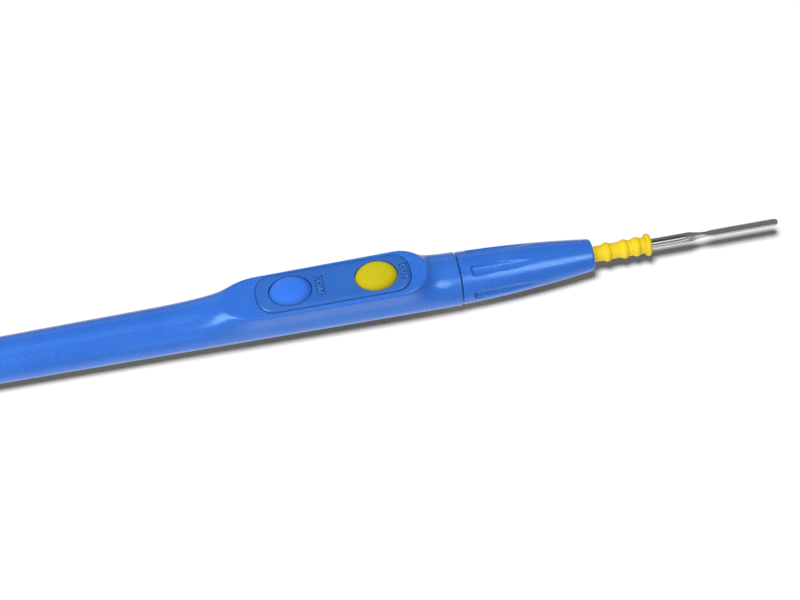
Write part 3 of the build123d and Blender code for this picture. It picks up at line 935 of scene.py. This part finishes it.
# Matt polypropylene in a warm yellow, which the light crosses with hardly any highlight.
sleeve_yellow = moulded_plastic(
    "moulded_yellow_polypropylene", "#F8D508", "#FFDE10", rough=0.7,
    grain_size=0.3 * mm, grain_depth=0.01 * mm, grain_strength=0.2,
)


def sleeve_radius(tree, given, station, turn):
    """Slightly coned tube with a round bead at each of its places."""
    forward = add(
        tree, "ShaderNodeMath", None, {0: (station, 0), 1: (given, "Start")}, operation="SUBTRACT"
    )
    share = add(tree, "ShaderNodeMath", None, {0: (forward, 0), 1: (given, "Length")}, operation="DIVIDE")
    tube = add(
        tree, "ShaderNodeMapRange", None,
        {"Value": (share, 0), "To Min": (given, "Root radius"), "To Max": (given, "Front radius")},
    )
    skin = (tube, "Result")
    for place, half_width, rise in bead_places:
        bead_radius = (half_width**2 + rise**2) / (2 * rise)
        off = add(tree, "ShaderNodeMath", {1: place}, {0: (station, 0)}, operation="SUBTRACT")
        off_square = add(tree, "ShaderNodeMath", {1: 2}, {0: (off, 0)}, operation="POWER")
        left = add(tree, "ShaderNodeMath", {0: bead_radius**2}, {1: (off_square, 0)}, operation="SUBTRACT")
        left = add(tree, "ShaderNodeMath", {1: 0}, {0: (left, 0)}, operation="MAXIMUM")
        arc = add(tree, "ShaderNodeMath", None, {0: (left, 0)}, operation="SQRT")
        crest = add(tree, "ShaderNodeMath", {1: rise - bead_radius}, {0: (arc, 0)}, operation="ADD")
        bead = add(tree, "ShaderNodeMath", None, {0: (crest, 0), 1: (tube, "Result")}, operation="ADD")
        skin = (
            add(
                tree, "ShaderNodeMath", None, {0: skin, 1: (bead, 0), 2: (given, "Foot round")},
                operation="SMOOTH_MAX",
            ),
            0,
        )
    return skin[0]


sleeve = turned_by_rule(
    "sleeve_moulding", sleeve_sizes, row_count=190, point_count=96, end_crowding=0.3,
    radius_rule=sleeve_radius, material=sleeve_yellow,
)
root_end_x = nose_front - root_setback + root_overlap
carve(sleeve, [hex_mesh(sleeve_low.x, root_end_x, hex_across_flats)], "UNION")
bore = [(x, shaft_radius + shaft_clearance) for x in (sleeve_low.x - mm, sleeve_high.x + mm)]
carve(sleeve, [ring_mesh("shaft_bore", lathe_rings(bore, 64))])
smooth(sleeve, crease_degrees=35)
sleeve.data.materials.clear()
sleeve.data.materials.append(sleeve_yellow)
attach(sleeve, "electrode")
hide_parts("electrode_sleeve")

# Blade electrode
# A stainless rod with one end drawn in to a waist and ground flat on both faces into a thin blade
# with a rounded tip. Grinding leaves lengthwise lines on an otherwise bright surface.
blade_low, blade_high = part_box("electrode_blade")
rod_chamfer = shaft_radius / 4
half_blade = 0.275 * mm
face_crown = 0.1 * mm
half_waist = 0.52 * mm
waist_x = blade_high.x - 17.7 * mm
taper_x = waist_x - 4.8 * mm
blade_x = waist_x + 3.2 * mm
flat_x = waist_x + 1.6 * mm
tip_round = 1.0 * mm
ground_round = 0.1 * mm
edge_round = 0.2 * mm
blade_turn = math.radians(-28)
# Ground stainless steel, which mirrors its surroundings drawn out lengthwise into light and dark bands.
# Real grinding lines are about 0.03 mm wide. These are drawn at 0.12 mm, so that they show.
ground_steel = worked_metal(
    "ground_stainless_steel", "#CFCDC8", rough=0.17, streak_length=12 * mm, streak_width=0.12 * mm
)


def eased(value, start, end):
    """Smooth step from 0 to 1 between two values."""
    share = np.clip((value - start) / (end - start), 0, 1)
    return share * share * (3 - 2 * share)


def blade_reach(x, turn):
    """Distance from the axis to the rod's skin: round, or cut off by a flat or by the blade's plan."""
    nearly_level = 0.01
    thick = shaft_radius + (half_blade - shaft_radius) * np.clip((x - taper_x) / (flat_x - taper_x), 0, 1)
    drawn_in = eased(x, taper_x, waist_x) - eased(x, waist_x, blade_x)
    wide = shaft_radius - (shaft_radius - half_waist) * drawn_in
    past_tip = np.clip((x - (blade_high.x - tip_round)) / tip_round, 0, 1)
    wide = wide - tip_round * (1 - np.sqrt(1 - past_tip**2))
    round_rod = shaft_radius - np.clip(blade_low.x + rod_chamfer - x, 0, None)
    upright = np.maximum(np.abs(np.cos(turn)), nearly_level)
    sideways = np.maximum(np.abs(np.sin(turn)), nearly_level)
    aside = np.clip(np.abs(np.sin(turn)) * thick / upright / shaft_radius, 0, 1)
    upper = (thick + face_crown * eased(x, taper_x, flat_x) * (0.5 - aside**2)) / upright
    outer = wide / sideways
    return soft_min(soft_min(round_rod + 0 * turn, upper, ground_round), outer, edge_round)


stations = np.concatenate([
    [blade_low.x, blade_low.x + rod_chamfer],
    np.linspace(blade_low.x + mm, taper_x, 12, endpoint=False),
    np.linspace(taper_x, blade_x + mm, 60, endpoint=False),
    np.linspace(blade_x + mm, blade_high.x - tip_round, 12, endpoint=False),
    blade_high.x - tip_round + tip_round * np.sin(np.linspace(0, math.pi / 2, 16)),
])
rings = skin_rings(stations, blade_reach, half_count=64, bend_weight=1.0)
blade = new_piece("blade_electrode", ring_mesh("blade_electrode", rings))
blade.data.transform(Matrix.Rotation(blade_turn, 4, "X"))
smooth(blade, crease_degrees=40)
blade.data.materials.append(ground_steel)
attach(blade, "electrode")
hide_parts("electrode_blade")

# Floor, light and camera
# A flat white paper floor on which the pencil lies, with a lamp of its own that casts the close shadow.
# An overhead lamp, a low fill and a key from the left bring out the colours. Soft boxes and cards make
# the gloss, and three of them light only the bare steel.
middle = Vector((0.1, 0, 0))
floor_level = cad_box[0].z
floor_radius = 3.0
floor_points = 96
turns = np.linspace(0, 2 * math.pi, floor_points, endpoint=False)
rim = [(middle.x + floor_radius * math.cos(t), floor_radius * math.sin(t), floor_level) for t in turns]
paper_mesh = bpy.data.meshes.new("white_paper_floor")
paper_mesh.from_pydata(rim, [], [list(range(floor_points))])
paper_floor = new_piece("white_paper_floor", paper_mesh)
# Matt white paper, which the camera sees just short of pure white. For mirrored rays the paper is
# instead a glow, a painted reflection: a bright strip beside the pencil, which darkens further off.
bright_half_width = 9 * mm
dark_half_width = 25 * mm
camera_lift = 0.04
white_paper = bpy.data.materials.new("white_paper")
white_paper.use_nodes = True
tree = white_paper.node_tree
tree.nodes.clear()
rays = add(tree, "ShaderNodeLightPath")
mirrored = add(
    tree, "ShaderNodeMath", None, {0: (rays, "Is Glossy Ray"), 1: (rays, "Is Transmission Ray")},
    operation="MAXIMUM",
)
shade = add(
    tree, "ShaderNodeMix", {"A": linear("#B4B4B4"), "B": linear("#FBFBFB")},
    {"Factor": (rays, "Is Camera Ray")}, data_type="RGBA",
)
paper = add(tree, "ShaderNodeBsdfDiffuse", None, {"Color": (shade, "Result")})
lift = add(tree, "ShaderNodeMath", {1: camera_lift}, {0: (rays, "Is Camera Ray")}, operation="MULTIPLY")
lifted = add(tree, "ShaderNodeEmission", {"Color": (1, 1, 1, 1)}, {"Strength": (lift, 0)})
seen_paper = add(tree, "ShaderNodeAddShader", None, {0: (paper, 0), 1: (lifted, 0)})
place = add(tree, "ShaderNodeTexCoord")
parts = add(tree, "ShaderNodeSeparateXYZ", None, {"Vector": (place, "Object")})
nearer = add(tree, "ShaderNodeMath", {1: -1}, {0: (parts, "Y")}, operation="MULTIPLY")
farther = add(tree, "ShaderNodeMath", {1: 0.5}, {0: (parts, "Y")}, operation="MULTIPLY")
aside = add(tree, "ShaderNodeMath", None, {0: (nearer, 0), 1: (farther, 0)}, operation="MAXIMUM")
# Strength of the paper's glow in reflections, a painted reflection that is brightest beside the pencil.
reflection_glow = add(
    tree, "ShaderNodeMapRange",
    {"From Min": bright_half_width, "From Max": dark_half_width, "To Min": 1, "To Max": 0.12},
    {"Value": (aside, 0)}, interpolation_type="SMOOTHSTEP",
)
paper_reflection_glow = add(
    tree, "ShaderNodeEmission", {"Color": (1, 1, 1, 1)}, {"Strength": (reflection_glow, "Result")}
)
both = add(
    tree, "ShaderNodeMixShader", None, {0: (mirrored, 0), 1: (seen_paper, 0), 2: (paper_reflection_glow, 0)}
)
add(tree, "ShaderNodeOutputMaterial", None, {"Surface": (both, 0)})
paper_mesh.materials.append(white_paper)

scene = bpy.context.scene
world = bpy.data.worlds.new("studio")
scene.world = world
world.use_nodes = True
world.node_tree.nodes["Background"].inputs["Color"].default_value = (1, 1, 1, 1)
world.node_tree.nodes["Background"].inputs["Strength"].default_value = 0.09


def aim(name, kind, towards_light, distance, **settings):
    """Lamp that shines on the pencil from a direction."""
    data = bpy.data.lights.new(name, kind)
    for setting, value in settings.items():
        setattr(data, setting, value)
    lamp = bpy.data.objects.new(name, data)
    scene.collection.objects.link(lamp)
    direction = Vector(towards_light).normalized()
    lamp.location = middle + direction * distance
    lamp.rotation_euler = direction.to_track_quat("Z", "Y").to_euler()
    return lamp


def light_only(lamp, things, leave_out=False):
    """Lets a lamp shine on these things only, or on all but these."""
    group = bpy.data.collections.new(lamp.name + "_group")
    for thing in things:
        group.objects.link(thing)
    for entry in group.collection_objects:
        entry.light_linking.link_state = "EXCLUDE" if leave_out else "INCLUDE"
    lamp.light_linking.receiver_collection = group
    return group


paper_light = aim("paper_light", "SUN", (-0.2, -0.11, 1), 1, energy=3.0, angle=math.radians(16))
light_only(paper_light, [paper_floor])
overhead = aim("overhead", "SUN", (-0.05, 0.1, 1), 1, energy=2.05, angle=math.radians(30))
overhead.visible_glossy = False
light_only(overhead, [paper_floor], leave_out=True)
fill = aim("front_fill", "SUN", (-0.25, -0.8, -0.75), 1, energy=1.4, angle=math.radians(50))
fill.visible_glossy = False
fill.light_linking.blocker_collection = light_only(fill, [paper_floor], leave_out=True)
left_key = aim("left_key", "AREA", (-0.535, -0.535, 0.652), 0.65, shape="SQUARE", size=0.3, energy=1.95)
left_key.visible_glossy = False
light_only(left_key, [paper_floor], leave_out=True)
left_box = aim("left_box", "AREA", (-0.74, -0.46, 0.49), 0.65, shape="SQUARE", size=0.4, energy=3.1)
left_box.visible_diffuse = False
light_only(left_box, [paper_floor, blade, *keys], leave_out=True)
right_box = aim("right_box", "AREA", (0.42, -0.56, 0.715), 0.45, shape="SQUARE", size=0.2, energy=0.85)
right_box.visible_diffuse = False
light_only(right_box, [paper_floor, blade, *keys], leave_out=True)
back_card = aim(
    "back_card", "AREA", (-0.1, 1, 0.18), 0.65,
    shape="RECTANGLE", size=1.2, size_y=0.3, energy=0.6,
)
back_card.visible_diffuse = False
light_only(back_card, [paper_floor, blade], leave_out=True)
rim_card = aim(
    "rim_card", "AREA", (-0.03, -1, 0.15), 0.3,
    shape="RECTANGLE", size=0.07, size_y=0.16, energy=0.09,
)
rim_card.visible_diffuse = False
light_only(rim_card, [paper_floor, blade, *keys], leave_out=True)
blade_strip = aim(
    "blade_strip", "AREA", (0.1, -0.5, 0.87), 0.65,
    shape="RECTANGLE", size=0.9, size_y=0.28, energy=1.2,
)
light_only(blade_strip, [blade])
blade_card = aim(
    "blade_card", "AREA", (0, 0.927, 0.375), 0.65,
    shape="RECTANGLE", size=1.2, size_y=0.55, energy=0.32,
)
light_only(blade_card, [blade])
low_card = aim(
    "low_card", "AREA", (0.15, -0.98, 0.02), 0.65,
    shape="RECTANGLE", size=0.7, size_y=0.25, energy=0.47,
)
low_card.light_linking.blocker_collection = light_only(low_card, [blade])
# The pieces throw no reflected light on the paper or on each other.
for piece in (handle, rear_cap, plate, nose, sleeve, blade):
    piece.visible_diffuse = False

elevation = math.radians(61.0)
azimuth = math.radians(-11.55)
camera_distance = 526.77 * mm
aim_x = 107.08 * mm
aim_drop = 2.47 * mm
sight = Vector((
    math.sin(azimuth) * math.cos(elevation), -math.cos(azimuth) * math.cos(elevation), math.sin(elevation)
))
across = Vector((0, 0, 1)).cross(sight).normalized()
upward = sight.cross(across)
camera = bpy.data.objects.new("camera", bpy.data.cameras.new("camera"))
camera.data.lens = 108
camera.location = Vector((aim_x, 0, 0)) - upward * aim_drop + sight * camera_distance
camera.rotation_euler = sight.to_track_quat("Z", "Y").to_euler()
scene.collection.objects.link(camera)
scene.camera = camera
scene.view_settings.view_transform = "Standard"
